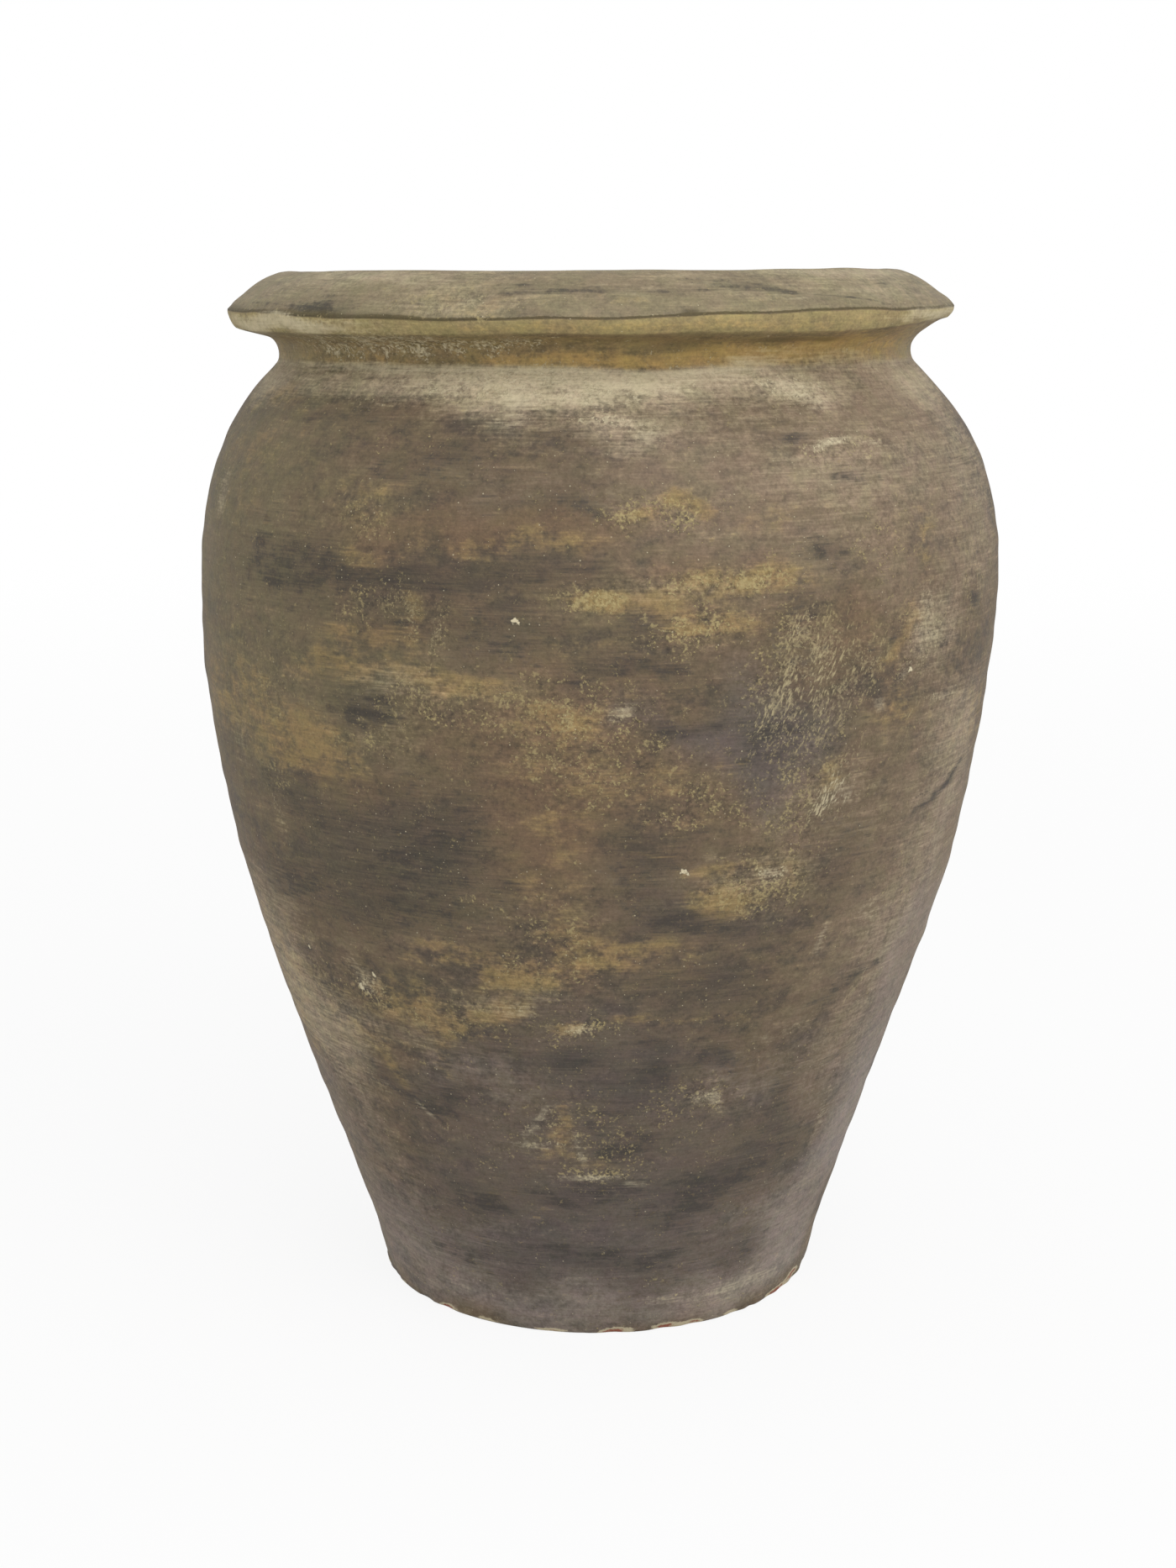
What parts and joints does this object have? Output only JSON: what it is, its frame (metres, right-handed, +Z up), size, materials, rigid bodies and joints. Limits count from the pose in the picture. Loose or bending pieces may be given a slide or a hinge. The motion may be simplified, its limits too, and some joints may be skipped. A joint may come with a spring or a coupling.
{
  "type": "olive jar",
  "caption": "Large pot-bellied jar of fired clay with a flat foot, a broad shoulder, a grooved neck and a thick sloping rim round an open mouth; it stands free.",
  "frame": {"origin": "centre of the ring that the jar stands on, at the height of the floor", "axes": "+Z up along the jar's axis; the jar is round, and -Y is the side seen in the picture"},
  "size_m": [0.583, 0.583, 0.75],
  "materials": {
    "patinated_clay": "matt grey-brown wash over ochre slip on fired clay, with pale dry-brushed grains and dark soil in the groove",
    "bare_clay": "matt unglazed fired clay"
  },
  "bodies": {
    "root": {"floor_slab": "patinated_clay", "corner_coil": "bare_clay", "foot_wall": "patinated_clay", "lower_wall": "patinated_clay", "belly_wall": "patinated_clay", "shoulder_wall": "patinated_clay", "neck_ring": "patinated_clay", "rim_collar": "patinated_clay"}
  },
  "joints": []
}
